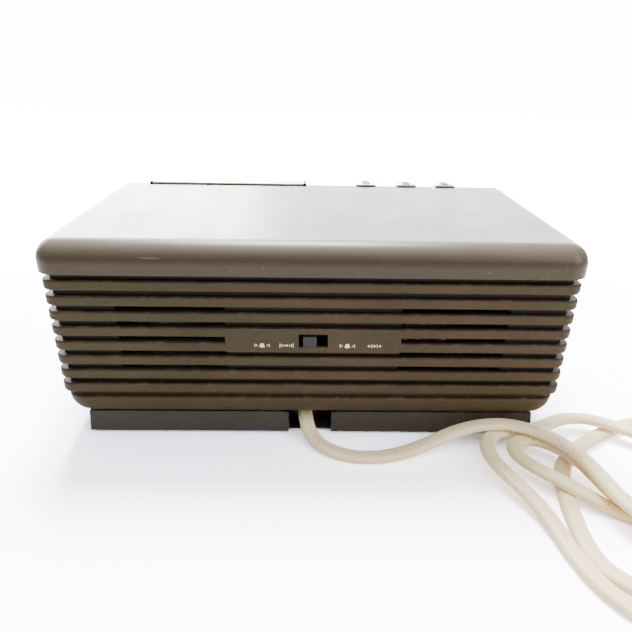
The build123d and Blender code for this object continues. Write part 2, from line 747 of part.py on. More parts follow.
core_wide = 42.0
core_foot = 7.0
core_x = plinth_half - 2 * wall - core_wide / 2 - core_foot - 1
core_y = 20.0 * along
core_deep = 16.0
core_tall = 36.0
coil_out = 9.0
limb_tall = 0.62 * core_tall
with BuildPart() as transformer_core:
    with BuildSketch(Plane.XZ.offset(-core_y + core_deep / 2)):
        with Locations((core_x, pan_floor + core_tall / 2)):
            Rectangle(core_wide, core_tall)
            with GridLocations(core_wide / 2, 0, 2, 1):
                Rectangle(core_wide / 6, limb_tall, mode=Mode.SUBTRACT)
    extrude(amount=-core_deep)
    with BuildSketch(Plane.XY.offset(pan_floor)):
        with Locations((core_x, core_y)):
            Rectangle(core_wide + 2 * core_foot, core_deep)
            with GridLocations(core_wide + core_foot, 0, 2, 1):
                Circle(2.0, mode=Mode.SUBTRACT)
    extrude(amount=1.2)
keep(transformer_core.part, "transformer_core")

with BuildPart() as transformer_winding:
    with BuildSketch(Plane.XY.offset(pan_floor + core_tall * 0.2)):
        with Locations((core_x, core_y)):
            RectangleRounded(core_wide * 2 / 3 - 0.6, core_deep + 2 * coil_out, 4.0)
            Rectangle(core_wide / 3 + 0.4, core_deep + 0.4, mode=Mode.SUBTRACT)
    extrude(amount=core_tall * 0.6)
keep(transformer_winding.part, "transformer_winding")

speaker_back = bezel_back + 24.0
basket_y = bezel_back + 13.0
with BuildPart() as speaker_frame:
    with BuildSketch(Plane.XY.offset(speaker_z)):
        with BuildLine():
            Polyline(
                (speaker_x + speaker_r - 2, bezel_back), (speaker_x + speaker_r + 1.5, bezel_back),
                (speaker_x + speaker_r + 1.5, bezel_back + 1.2),
                (speaker_x + speaker_r - 1, bezel_back + 1.2),
                (speaker_x + 12.0, basket_y), (speaker_x, basket_y), (speaker_x, basket_y - 1),
                (speaker_x + 11.5, basket_y - 1), (speaker_x + speaker_r - 2, bezel_back + 1.2), close=True,
            )
        make_face()
    revolve(axis=Axis((speaker_x, 0, speaker_z), (0, 1, 0)), revolution_arc=360)
    with BuildSketch(Plane.XZ.offset(-basket_y + 8)):
        with Locations((speaker_x, speaker_z)):
            with PolarLocations(16.0, 6):
                Rectangle(9.0, 8.0)
    extrude(amount=-5.5, mode=Mode.SUBTRACT)
keep(speaker_frame.part, "speaker_frame")

with BuildPart() as speaker_cone:
    with BuildSketch(Plane.XY.offset(speaker_z)):
        with BuildLine():
            Polyline(
                (speaker_x, bezel_back + 3.5), (speaker_x + 5, bezel_back + 6.5),
                (speaker_x + speaker_r - 4.0, bezel_back + 0.8),
                (speaker_x + speaker_r - 2.4, bezel_back + 0.8),
                (speaker_x + speaker_r - 4.0, bezel_back + 1.6), (speaker_x + 5, bezel_back + 7.3),
                (speaker_x, bezel_back + 4.3), close=True,
            )
        make_face()
    revolve(axis=Axis((speaker_x, 0, speaker_z), (0, 1, 0)), revolution_arc=360)
keep(speaker_cone.part, "speaker_cone")

with BuildPart() as speaker_magnet:
    with BuildSketch(Plane.XZ.offset(-basket_y)):
        with Locations((speaker_x, speaker_z)):
            Circle(15.0)
    extrude(amount=-(speaker_back - basket_y))
    fillet(speaker_magnet.faces().sort_by(Axis.Y)[-1].edges(), 1.0)
keep(speaker_magnet.part, "speaker_magnet")

display_z = 67.0
display_x = -38.0 * across
clock_wide = 124.0 * across
clock_stand = 8.0        # behind the dial plate
with BuildPart() as clock_board:
    with BuildSketch(Plane.XZ.offset(-dial_y - clock_stand)):
        with Locations((display_x, display_z)):
            Rectangle(clock_wide, 28.0)
    extrude(amount=-board_thick)
    with BuildSketch(Plane.XZ.offset(-bezel_back - 1.5)):
        with Locations((display_x, display_z)):
            with GridLocations(clock_wide - 6, 0, 2, 1):
                Rectangle(4.0, 10.0)
    extrude(amount=-(dial_y + clock_stand - bezel_back - 1.5))
keep(clock_board.part, "clock_board")

led_wide = 86.0 * across
led_tall = 24.0
led_deep = 7.0
with BuildPart() as led_display:
    with BuildSketch(Plane.XZ.offset(-dial_y - clock_stand + led_deep)):
        with Locations((display_x, display_z)):
            Rectangle(led_wide, led_tall)
    extrude(amount=-led_deep)
keep(led_display.part, "led_display")

rod_y = inner_back - 11.0
rod_z = 76.0
rod_r = 4.0
rod_left = -100.0 * across
rod_long = 80.0
rod_gap = 0.02
with BuildPart() as ferrite_rod:
    with BuildSketch(Plane.YZ.offset(rod_left)):
        with Locations((rod_y, rod_z)):
            Circle(rod_r)
    extrude(amount=rod_long)
keep(ferrite_rod.part, "ferrite_rod")

with BuildPart() as antenna_coil:
    with BuildSketch(Plane.YZ.offset(-90 * across)):
        with Locations((rod_y, rod_z)):
            Circle(rod_r + 1.2)
            Circle(rod_r + rod_gap, mode=Mode.SUBTRACT)
    extrude(amount=22)
keep(antenna_coil.part, "antenna_coil")

with BuildPart() as rod_holder:
    for x in (-60.0 * across, -30.0 * across):
        with BuildSketch(Plane.YZ.offset(x)):
            with Locations(((rod_y + inner_back) / 2, rod_z)):
                Rectangle(inner_back - rod_y, 2 * rod_r)
            with Locations((rod_y, rod_z)):
                Circle(rod_r + 2)
                Circle(rod_r + rod_gap, mode=Mode.SUBTRACT)
        extrude(amount=5)
keep(rod_holder.part, "rod_holder")

# ======== switch in the back =====================================================================
switch_wide = 28.0
switch_high = 9.0
switch_deep = 7.0
with BuildPart() as alarm_switch_body:
    with BuildSketch(Plane.XZ.offset(-inner_back)):
        with Locations((0, switch_z)):
            RectangleRounded(switch_wide, switch_high, 0.8)
    extrude(amount=switch_deep)
    with BuildSketch(Plane.XZ.offset(-inner_back - 1)):
        with Locations((0, switch_z)):
            Rectangle(aperture_wide, aperture_high - 1.0)
    extrude(amount=switch_deep, mode=Mode.SUBTRACT)
keep(alarm_switch_body.part, "alarm_switch_body")

slider_x = slider_travel / 2
slider_back = shell_back + slider_reach
slider_high = aperture_high - 1.0 - 2 * clearance
with BuildPart() as alarm_switch_knob:
    with BuildSketch(Plane.XZ.offset(-inner_back + switch_deep - 1 - clearance)):
        with Locations((slider_x, switch_z)):
            Rectangle(slider_wide, slider_high)
    extrude(amount=-(slider_back - inner_back + switch_deep - 1 - clearance))
    with BuildSketch(Plane.XY.offset(switch_z - slider_high)):
        with Locations((slider_x, slider_back)):
            with GridLocations(slider_wide / 5, 0, 4, 1):
                Rectangle(0.5, 0.9)
    extrude(amount=2 * slider_high, mode=Mode.SUBTRACT)
keep(alarm_switch_knob.part, "alarm_switch_knob")

# ======== strain relief, cord and plug ===========================================================
relief_back = notch_back + 4.0
with BuildPart() as strain_relief:
    with BuildSketch(Plane.XZ.offset(-notch_back + wall + 2)):
        with Locations((cord_x, cord_z)):
            RectangleRounded(relief_wide - 0.2, relief_high - 0.2, 2.0)
    extrude(amount=-(relief_back - notch_back + wall + 2))
    with BuildSketch(Plane.XZ.offset(-notch_back)):
        with Locations((cord_x, cord_z)):
            RectangleRounded(relief_wide + 1.4, relief_high + 1.4, 2.4)
    extrude(amount=-1.2)
    with BuildSketch(Plane.XZ.offset(-notch_back + wall + 2)):
        with Locations((cord_x, cord_z)):
            RectangleRounded(relief_wide + 1.4, relief_high + 1.4, 2.4)
    extrude(amount=-2.0)
keep(strain_relief.part, "strain_relief")

low = cord_high / 2 + 0.1
middle = low + cord_high + 0.3
high = middle + cord_high + 0.6
cord_points = [
    # out of the pocket, down to the table and along the back
    (3.1, 65.5, 7.6), (1.2, 73, 5.4), (-4, 80.5, 3.2), (-14, 86.5, low),
    (-27, 89, low), (-42, 87, 2.8), (-57, 81.5, 5.0), (-71, 76, 8.5),
    # over the other turns, then the outer turn
    (-85, 73.5, 11.0), (-98, 74, high), (-110, 79, high), (-119, 87.5, high), (-124.5, 98.5, high),
    (-127, 111, high), (-129, 125, high), (-135, 139, high), (-148, 151, 9.0), (-166, 157, 4.0),
    (-186, 153, low), (-203, 140, low), (-214, 121, low), (-217, 99, low), (-210, 78, low),
    (-195, 63, low), (-176, 58.5, low),
    # lowest turn, under the rest
    (-159, 64, low), (-144, 73, low), (-130, 82.5, low), (-119.5, 94, low), (-114.5, 107, low),
    (-111.5, 122, low), (-109.6, 137, low), (-110, 149, low), (-115, 158, low), (-124, 163, low),
    (-134.5, 163, low), (-143.2, 158, low), (-148.2, 149, low), (-148, 138.5, low),
    (-141.5, 129.5, low), (-128.5, 121.5, 2.6), (-113.5, 111, middle),
    # small turn, tight behind the case
    (-104, 102, middle), (-98, 93, middle), (-98, 86.3, middle), (-101.6, 81.8, middle),
    (-107, 80, middle), (-113, 81.3, middle), (-120, 86.5, middle), (-125.5, 95, middle),
    (-128.7, 106, middle), (-131, 118, middle), (-138, 128, middle), (-149.5, 133, middle),
    (-162, 131, middle), (-172, 122.5, middle), (-177.5, 110, middle), (-177, 96, middle),
    (-171.5, 83.5, middle), (-163, 73.5, middle),
    # wide turn beside the case
    (-152.5, 65.5, middle), (-141, 61.5, middle), (-129.5, 63, middle), (-119, 69.5, middle),
    (-108.5, 72.8, middle), (-97.5, 73.5, middle), (-90, 77, middle), (-85.8, 83.5, middle),
    (-84.8, 91.5, middle), (-86.5, 100.5, middle), (-91, 109.5, 6.6), (-96.5, 120, 5.0),
    (-100.5, 132, 3.2), (-102.5, 147, low), (-107.5, 163, low), (-119, 176, low), (-136, 183.5, low),
    (-156, 184.5, low), (-177, 180, low), (-200, 171, low), (-224, 162.5, low),
    (-246, 158, low), (coil_x + 6, coil_y + coil_mid_r, low),
]
# the lay is drawn for a case of that half width and back, and moves out with them
aside = width / 2 - 124.0
behind = back - 74.0
lay_left = -80.0
cord_lay = [(x - aside * (x < lay_left), y + behind, z) for x, y, z in cord_points]


def bend_radii(points):
    radii = []
    for before, here, after in zip(points, points[1:], points[2:]):
        run_in = Vector(*here) - Vector(*before)
        run_out = Vector(*after) - Vector(*here)
        half_turn = math.radians(run_in.get_angle(run_out)) / 2
        radii.append(0.45 * min(run_in.length, run_out.length) / math.tan(half_turn))
    return radii


def cord_tube(points, name):
    radii = bend_radii(points)
    print(name, "bend radii", [round(r) for r in radii])
    with BuildPart() as tube:
        with BuildLine():
            path = FilletPolyline(*points, radius=radii)
        with BuildSketch(Plane(origin=path @ 0, z_dir=path % 0)):
            Circle(cord_high / 2)
        sweep(path=path)
    section = math.pi * cord_high ** 2 / 4
    print(name, "length", round(path.length), "volume", round(tube.part.volume))
    print(name, "section by length", round(section * path.length))
    keep(tube.part, name)
    return path.length


shown = cord_tube([(cord_x, relief_back, cord_z)] + cord_lay, "power_cord")
coil_at = (coil_x - aside, coil_y + behind)
plug_x = coil_at[0] - 24.0
plug_y = coil_at[1] - 52.0
plug_z = 8.2
tail_points = [
    (coil_at[0] - coil_mid_r, coil_at[1] - 6, 7.2), (coil_at[0] - coil_mid_r + 1.2, coil_at[1] - 18, 7.4),
    (coil_at[0] - coil_mid_r + 5, coil_at[1] - 30, 7.8),
    (plug_x - 2, plug_y + 11, plug_z), (plug_x, plug_y, plug_z),
]
tail = cord_tube(tail_points, "cord_tail")

coil_length = cord_length - shown - tail
coil_turns = coil_length / (2 * math.pi * coil_mid_r)
print("coil", round(coil_length), "turns", round(coil_turns, 2))
coil_wide = 2 * cord_wide + 1.0
coil_tall = 2 * cord_high + 3.0
with BuildPart() as cord_coil:
    with BuildSketch(Plane.XZ.offset(-coil_at[1])):
        with Locations((coil_at[0] + coil_mid_r, coil_tall / 2)):
            RectangleRounded(coil_wide, coil_tall, 3.5)
    revolve(axis=Axis((*coil_at, 0), (0, 0, 1)), revolution_arc=360)
keep(cord_coil.part, "cord_coil")

plug_length = 34.0
with BuildPart() as plug_body:
    with BuildSketch(Plane.XZ.offset(-plug_y)):
        with Locations((plug_x, plug_z)):
            RectangleRounded(11.0, 8.0, 3.0)
    with BuildSketch(Plane.XZ.offset(-plug_y + 12)):
        with Locations((plug_x, plug_z)):
            RectangleRounded(21.0, 16.0, 5.0)
    loft()
    with BuildSketch(Plane.XZ.offset(-plug_y + 12)):
        with Locations((plug_x, plug_z)):
            RectangleRounded(21.0, 16.0, 5.0)
    extrude(amount=plug_length - 12)
    fillet(plug_body.faces().sort_by(Axis.Y)[0].edges(), 1.2)
keep(plug_body.part, "plug_body")

with BuildPart() as plug_blades:
    with BuildSketch(Plane.XZ.offset(-plug_y + plug_length)):
        with Locations((plug_x - 6.35, plug_z), (plug_x + 6.35, plug_z)):
            Rectangle(1.5, 6.3)
    extrude(amount=16.0)
    with BuildSketch(Plane.YZ.offset(plug_x - 12)):
        with Locations((plug_y - plug_length - 12.5, plug_z)):
            Circle(1.5)
    extrude(amount=24, mode=Mode.SUBTRACT)
keep(plug_blades.part, "plug_blades")
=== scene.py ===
import math

import bmesh
import bpy
from mathutils import Matrix, Vector


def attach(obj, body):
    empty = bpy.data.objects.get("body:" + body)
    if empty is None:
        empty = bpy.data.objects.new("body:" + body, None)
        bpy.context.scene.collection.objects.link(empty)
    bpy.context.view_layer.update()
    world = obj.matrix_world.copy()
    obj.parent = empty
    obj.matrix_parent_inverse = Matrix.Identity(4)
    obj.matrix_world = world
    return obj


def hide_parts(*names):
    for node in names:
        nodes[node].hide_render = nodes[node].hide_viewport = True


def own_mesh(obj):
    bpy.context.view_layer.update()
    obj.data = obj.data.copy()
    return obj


# A mains clock radio, put together as it is in the factory: table, case, front, keys, dial
# drive, boards, back switch, flex. Metres; +Z is up, +Y is the back with the vents.

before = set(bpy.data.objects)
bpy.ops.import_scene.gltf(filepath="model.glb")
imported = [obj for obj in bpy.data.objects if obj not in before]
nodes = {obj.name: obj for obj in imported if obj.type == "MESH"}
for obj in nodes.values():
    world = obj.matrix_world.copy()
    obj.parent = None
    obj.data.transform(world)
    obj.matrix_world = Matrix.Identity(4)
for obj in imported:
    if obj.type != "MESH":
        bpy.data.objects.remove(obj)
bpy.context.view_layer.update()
MM = 0.001

# ======== table ==================================================================================
# A white laminate table top, wiped clean, in a white room. It is brighter to the camera than to
# the radio that stands on it, so only the radio's contact shadow is left to see.
WHITE_OUT = 3.0
FAR_WHITE = 40.0
FADE_FROM = 0.3
FADE_TO = 1.3
TABLE_SIDE = 6.0
TABLE_MIDDLE = 1.1


class Mark:
    """One socket of a finish. Sums written on it become Math nodes."""

    def __init__(self, finish, socket):
        self.finish = finish
        self.socket = socket

    def sum(self, operation, first, second):
        return self.finish.node("ShaderNodeMath", {"operation": operation}, {0: first, 1: second})

    def __add__(self, other):
        return self.sum("ADD", self, other)

    def __sub__(self, other):
        return self.sum("SUBTRACT", self, other)

    def __rsub__(self, other):
        return self.sum("SUBTRACT", other, self)

    def __mul__(self, other):
        return self.sum("MULTIPLY", self, other)

    def __lt__(self, other):
        return self.sum("LESS_THAN", self, other)

    def __gt__(self, other):
        return self.sum("GREATER_THAN", self, other)

    def __or__(self, other):
        return self.sum("MAXIMUM", self, other)

    def __abs__(self):
        return self.sum("ABSOLUTE", self, 0.0)

    __radd__ = __add__
    __rmul__ = __mul__


class Finish:
    """A material for one finish of the radio."""

    def __init__(self, name):
        self.material = bpy.data.materials.new(name)
        self.material.use_nodes = True
        self.tree = self.material.node_tree
        self.tree.nodes.clear()
        self.place = self.node("ShaderNodeTexCoord", out="Object")

    def node(self, kind, settings=None, sockets=None, out=0):
        """Adds any node: its settings first, then the values or links of its sockets."""
        node = self.tree.nodes.new(kind)
        for key, value in (settings or {}).items():
            setattr(node, key, value)
        for key, value in (sockets or {}).items():
            if isinstance(value, Mark):
                self.tree.links.new(value.socket, node.inputs[key])
            else:
                node.inputs[key].default_value = value
        return Mark(self, node.outputs[out])

    def cloud(self, scale, detail=3.0, rough=0.6, stretch=(1.0, 1.0, 1.0)):
        place = self.node("ShaderNodeMapping", None, {"Vector": self.place, "Scale": stretch})
        sockets = {"Vector": place, "Scale": scale, "Detail": detail, "Roughness": rough}
        return self.node("ShaderNodeTexNoise", None, sockets)

    def between(self, mark, low, high, start=0.0, end=1.0):
        sockets = {"Value": mark, "From Min": low, "From Max": high, "To Min": start, "To Max": end}
        return self.node("ShaderNodeMapRange", None, sockets)

    def blend(self, share, under, over):
        return self.node("ShaderNodeMix", {"data_type": "RGBA"}, {0: share, 6: under, 7: over}, 2)

    def relief(self, height, distance, under=None):
        sockets = {"Height": height, "Distance": distance}
        if under:
            sockets["Normal"] = under
        return self.node("ShaderNodeBump", None, sockets)

    def axis(self, number):
        return self.node("ShaderNodeSeparateXYZ", None, {0: self.place}, number)

    def done(self, **sockets):
        named = {key.replace("_", " "): value for key, value in sockets.items()}
        shader = self.node("ShaderNodeBsdfPrincipled", None, named)
        output = self.tree.nodes.new("ShaderNodeOutputMaterial")
        self.tree.links.new(shader.socket, output.inputs["Surface"])
        return self.material


def shade(colour, lift=1.0):
    return (colour[0] * lift, colour[1] * lift, colour[2] * lift, 1.0)


bpy.ops.object.select_all(action="DESELECT")
bpy.ops.mesh.primitive_plane_add(size=TABLE_SIDE, location=(0, TABLE_MIDDLE, 0))
table = bpy.context.object
bpy.ops.object.transform_apply(location=True, rotation=True, scale=True)
table.name = "table"
laminate = Finish("white_laminate")
eye = laminate.node("ShaderNodeLightPath", out="Is Camera Ray")
clouded = laminate.between(laminate.cloud(3.0), 0.3, 0.7)
pale = laminate.blend(clouded, (0.80, 0.81, 0.83, 1), (0.84, 0.845, 0.86, 1))
paper = laminate.node("ShaderNodeBsdfDiffuse", None, {"Color": pale})
away = laminate.node("ShaderNodeVectorMath", {"operation": "LENGTH"}, {0: laminate.place}, "Value")
near_white = (WHITE_OUT * 0.97, WHITE_OUT * 0.98, WHITE_OUT * 1.16, 1)
fade = laminate.between(away, FADE_FROM, FADE_TO)
far_white = laminate.blend(fade, near_white, (FAR_WHITE, FAR_WHITE, FAR_WHITE, 1))
bright = laminate.node("ShaderNodeBsdfDiffuse", None, {"Color": far_white})
seen = laminate.node("ShaderNodeMixShader", None, {0: eye, 1: paper, 2: bright})
sheet_end = laminate.tree.nodes.new("ShaderNodeOutputMaterial")
laminate.tree.links.new(seen.socket, sheet_end.inputs["Surface"])
table.data.materials.append(laminate.material)

# ======== light and camera =======================================================================
# Two windows beyond the front of the radio put only glare on its lid. A ceiling lamp, a skylight
# over the front and a lamp at the right of the back light the rest. The camera stands behind the
# radio and looks down.
ROOM_LIGHT = 0.75
ROOM_AS_SEEN = 14.0
EYE = (0.00345, 0.2982, 0.1768)
LENS = 31.1


def soft_box(name, place, target, size, power, colour, glare_only=False):
    lamp_data = bpy.data.lights.new(name, "AREA")
    lamp_data.shape = "RECTANGLE"
    lamp_data.size, lamp_data.size_y = size
    lamp_data.energy = power
    lamp_data.color = colour
    lamp = bpy.data.objects.new(name, lamp_data)
    lamp.location = place
    lamp.rotation_euler = (Vector(target) - Vector(place)).to_track_quat("-Z", "Y").to_euler()
    lamp.visible_camera = False
    lamp.visible_diffuse = not glare_only
    bpy.context.collection.objects.link(lamp)


world = bpy.data.worlds.new("white_room")
world.use_nodes = True
room = world.node_tree
background = room.nodes["Background"]
eye_path = room.nodes.new("ShaderNodeLightPath")
glow = room.nodes.new("ShaderNodeMapRange")
glow.inputs["To Min"].default_value = ROOM_LIGHT
glow.inputs["To Max"].default_value = ROOM_AS_SEEN
room.links.new(eye_path.outputs["Is Camera Ray"], glow.inputs["Value"])
room.links.new(glow.outputs["Result"], background.inputs["Strength"])
background.inputs["Color"].default_value = (1.0, 1.0, 1.0, 1)
bpy.context.scene.world = world
soft_box("window", (0.35, -2.2, 0.8), (0, 0, 0.1), (5.6, 1.5), 270.0, (1.0, 0.965, 0.95), True)
soft_box("window_left", (0.85, -2.1, 0.72), (0.05, 0, 0.1), (1.3, 1.2), 120.0, (0.98, 0.99, 1.0), True)
soft_box("ceiling", (-0.15, 0.3, 1.3), (-0.1, 0.1, 0), (1.3, 1.3), 9.0, (1.0, 0.99, 0.98))
soft_box("skylight", (0.05, -0.5, 1.1), (-0.02, 0.1, 0), (0.5, 0.5), 60.0, (1.0, 0.985, 0.96))
soft_box("right_lamp", (-1.2, 0.9, 0.75), (-0.05, 0.05, 0.05), (0.9, 0.9), 16.0, (1.0, 0.975, 0.94))

pitch, yaw, roll = (math.radians(a) for a in (25.26, -1.14, 1.01))
level = Vector((math.sin(yaw), -math.cos(yaw), 0))
aside = Vector((-math.cos(yaw), -math.sin(yaw), 0))
ahead = math.cos(pitch) * level - math.sin(pitch) * Vector((0, 0, 1))
upward = math.sin(pitch) * level + math.cos(pitch) * Vector((0, 0, 1))
right = math.cos(roll) * aside + math.sin(roll) * upward
top = -math.sin(roll) * aside + math.cos(roll) * upward
camera_data = bpy.data.cameras.new("camera")
camera_data.sensor_width = 36.0
camera_data.lens = LENS
camera_data.clip_start = 0.01
camera = bpy.data.objects.new("camera", camera_data)
stand = Matrix.Translation(EYE)
camera.matrix_world = stand @ Matrix((right, top, -ahead)).transposed().to_4x4()
bpy.context.collection.objects.link(camera)
bpy.context.scene.camera = camera

# ======== ribbed shell ===========================================================================
# One moulding in satin olive-brown polystyrene, with sharp grooves round three sides and vent
# slots through them. Shade is painted near-black into the grooves and over the inside, dust
# settles on the top faces, and handling pales the edges of the ribs.
SHELL_COLOUR = (0.045, 0.030, 0.0140)
SHELL_HALF = 0.1224
SHELL_BACK = 0.0724
BAND_TOP = 0.0268
DUST = (0.30, 0.27, 0.23, 1)
# Near-black for painted shade in the grooves, over the inside of the shell and in the flex's pocket.
SHADE_COLOUR = (0.004, 0.003, 0.002, 1)


def moulded(name, colour, rough=0.45, grain=2400.0, deep=0.00004, mottle=0.12, wear=0.3, dust=0.15,
            painted_shade=None, gloss_level=0.3):
    """Moulded plastic: cloudy colour, moulding grain, rubbed edges, fine scratches, dust on top, and painted
    shade where a mask is given.
    """
    f = Finish(name)
    clouded = f.between(f.cloud(24.0, 4.0), 0.3, 0.7)
    colour_now = f.blend(clouded, shade(colour, 1 - mottle), shade(colour, 1 + mottle))
    fleck = f.between(f.cloud(520.0, 2.0), 0.55, 0.8, 0.0, mottle)
    colour_now = f.blend(fleck, colour_now, shade(colour, 2.2))
    bevel = f.node("ShaderNodeBevel", {"samples": 4}, {"Radius": 0.0006})
    face = f.node("ShaderNodeNewGeometry", out="Normal")
    same = f.node("ShaderNodeVectorMath", {"operation": "DOT_PRODUCT"}, {0: bevel, 1: face}, "Value")
    edge = f.between(same, 1.0, 0.85)
    scratch = f.between(f.cloud(240.0, 2.0, 0.5, (0.08, 1.0, 1.0)), 0.735, 0.77)
    rubbed = edge * f.between(f.cloud(80.0), 0.42, 0.66, 0.0, wear) | scratch * (wear * 0.45)
    pale = [min(1.0, c * 2.6 + 0.035) for c in colour]
    colour_now = f.blend(rubbed, colour_now, shade(pale))
    up = f.node("ShaderNodeSeparateXYZ", None, {0: face}, 2)
    settled = f.between(up, 0.4, 1.0) * f.between(f.cloud(160.0, 5.0), 0.5, 0.8, 0.0, dust)
    colour_now = f.blend(settled, colour_now, DUST)
    # Painted shade: where a mask is given, hollows that light hardly reaches are darkened nearly to black.
    if painted_shade:
        colour_now = f.blend(painted_shade(f), colour_now, SHADE_COLOUR)
    gloss = f.between(f.cloud(34.0, 4.0), 0.3, 0.7, rough - 0.05, rough + 0.07) + settled * 0.35
    bumps = f.relief(f.cloud(grain, 2.0), deep)
    return f.done(Base_Color=colour_now, Roughness=gloss, Normal=bumps, Specular_IOR_Level=gloss_level)


def groove_shade(f):
    """Painted shade: how far a point lies behind the faces of the ribs, and all of the inside."""
    inward = (abs(f.axis(0)) - SHELL_HALF) | (f.axis(1) - SHELL_BACK)
    above_band = f.axis(2) > BAND_TOP
    in_groove = f.between(inward, -0.0010, -0.0026, 0.0, 0.86) * above_band
    return in_groove | f.between(inward, -0.0044, -0.0049)


def paint(material, *names):
    for name in names:
        nodes[name].data.materials.clear()
        nodes[name].data.materials.append(material)


shell_brown = moulded("shell_brown", SHELL_COLOUR, rough=0.54, grain=2400.0, deep=0.00003, mottle=0.14,
                      wear=0.5, dust=0.25, painted_shade=groove_shade, gloss_level=0.2)
paint(shell_brown, "lower_shell")

# ======== top cover ==============================================================================
# The smooth lid in the same brown, moulded with a fine grain, rounded at the back and the sides.
# Years of cleaning have polished it, and it has small pale nicks along its back edge.


def cover_brown():
    f = Finish("cover_brown")
    colour = (0.038, 0.0245, 0.011)
    tone = f.blend(f.between(f.cloud(12.0, 3.0), 0.3, 0.7), shade(colour, 0.93), shade(colour, 1.07))
    speck = f.between(f.cloud(900.0, 3.0), 0.66, 0.76, 0.0, 0.35)
    tone = f.blend(speck, tone, (0.20, 0.17, 0.13, 1))
    nick = f.between(f.cloud(330.0, 3.0, 0.55, (2.0, 1.0, 1.0)), 0.75, 0.78, 0.0, 0.7)
    here = f.between(f.cloud(26.0, 2.0), 0.52, 0.6)
    tone = f.blend(nick * here, tone, (0.55, 0.50, 0.40, 1))
    hair = f.between(f.cloud(190.0, 2.0, 0.4, (0.05, 1.0, 1.0)), 0.76, 0.79, 0.0, 0.5)
    tone = f.blend(hair, tone, (0.30, 0.27, 0.22, 1))
    face = f.node("ShaderNodeNewGeometry", out="Normal")
    up = f.node("ShaderNodeSeparateXYZ", None, {0: face}, 2)
    # Faces that point up are paled in patches towards a pinkish grey.
    paler_upward = f.between(up, 0.25, 1.0, 0.0, 0.16) * f.between(f.cloud(60.0, 5.0), 0.25, 0.75, 0.75, 1.0)
    tone = f.blend(paler_upward, tone, (0.62, 0.55, 0.50, 1))
    gloss = f.between(f.cloud(40.0, 5.0), 0.3, 0.7, 0.30, 0.38)
    bumps = f.relief(f.cloud(1500.0, 2.0), 0.00004, f.relief(nick * here, -0.0001))
    return f.done(Base_Color=tone, Roughness=gloss, Normal=bumps, Specular_IOR_Level=0.34)


paint(cover_brown(), "top_cover")

# ======== base pan, feet and screws ==============================================================
# A shallow pan in the same plastic, left matt, with a pocket for the flex, whose inside is painted
# near-black as shade, and a black plate under it that stands in for the shade there. It stands on
# four glued rubber feet, and four zinc-plated screws pull it up to the shell.
POCKET_MIDDLE = 0.001
POCKET_HALF = 0.0134
POCKET_FRONT = 0.048
POCKET_LIP = 0.0664
POCKET_SHADE = 0.0658


def block(name, middle, size, soft=0.0003, segments=2):
    """A bar or plate: a cube brought to size in millimetres, with its edges softened."""
    bpy.ops.object.select_all(action="DESELECT")
    bpy.ops.mesh.primitive_cube_add(size=1.0, location=[v * MM for v in middle])
    piece = bpy.context.object
    piece.name = name
    piece.scale = [v * MM for v in size]
    bpy.ops.object.transform_apply(location=True, rotation=True, scale=True)
    edges = piece.modifiers.new("soft_edges", "BEVEL")
    edges.width = soft
    edges.segments = segments
    edges.limit_method = "NONE"
    bpy.ops.object.modifier_apply(modifier=edges.name)
    return piece


def join(pieces, name, material, body):
    """Several small pieces made one, painted, and hung on a body."""
    bpy.ops.object.select_all(action="DESELECT")
    for piece in pieces:
        piece.select_set(True)
    bpy.context.view_layer.objects.active = pieces[0]
    if len(pieces) > 1:
        bpy.ops.object.join()
    whole = bpy.context.object
    whole.name = name
    whole.data.materials.clear()
    whole.data.materials.append(material)
    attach(whole, body)


def pocket_shade(f):
    """Painted shade: the inside of the flex's pocket, which hardly gets any light."""
    across = abs(f.axis(0) - POCKET_MIDDLE) < POCKET_HALF
    return across * (f.axis(1) > POCKET_FRONT) * f.between(f.axis(1), POCKET_LIP, POCKET_SHADE)


def plated(name, colour, rough=0.3, brushed=(1.0, 1.0, 1.0), tarnish=0.25):
    """Metal with brush lines, uneven polish and a little tarnish."""
    f = Finish(name)
    stain = f.between(f.cloud(120.0, 5.0), 0.45, 0.75, 0.0, tarnish)
    tone = f.blend(stain, shade(colour), shade(colour, 0.45))
    lines = f.cloud(1800.0, 2.0, 0.6, brushed)
    gloss = f.between(lines, 0.3, 0.7, rough - 0.06, rough + 0.1) + stain * 0.4
    return f.done(Base_Color=tone, Metallic=1.0, Roughness=gloss, Normal=f.relief(lines, 0.00001))


pan_brown = moulded("pan_matt_brown", (0.042, 0.035, 0.027), rough=0.6, grain=1800.0, deep=0.00005,
                    mottle=0.1, wear=0.3, dust=0.2, painted_shade=pocket_shade)
paint(pan_brown, "base_pan")
# A near-black plate under the pocket, painted shade: it covers the table there so the pocket reads dark.
pocket_shade_plate = block("pocket_shade_plate", (1.0, 58.4, 2.0), (21.6, 12.6, 0.9), 0.0002)
pocket_shade_black = moulded("pocket_shade_black", (0.004, 0.004, 0.004), 0.7, 1800.0, 0.00004)
join([pocket_shade_plate], "pocket_shade_plate", pocket_shade_black, "case")
foot_rubber = moulded("foot_rubber", (0.012, 0.012, 0.012), 0.75, 900.0, 0.00005)
paint(foot_rubber, "foot_1", "foot_2", "foot_3", "foot_4")
paint(plated("screw_zinc", (0.62, 0.62, 0.60), 0.3, (1.0, 1.0, 0.1), 0.4), "case_screws")

# ======== front panel ============================================================================
# A brown moulding with a smoked window over the display and the dial, bright trim pressed in
# round the window, and a black louvred loudspeaker grille.
TRIM_Y = -66.1
TRIM_DEEP = 0.9
TRIM_WIDE = 1.3
TRIM_ENDS = (-112.0, 38.0)
TRIM_SIDES = (28.0, 82.0)


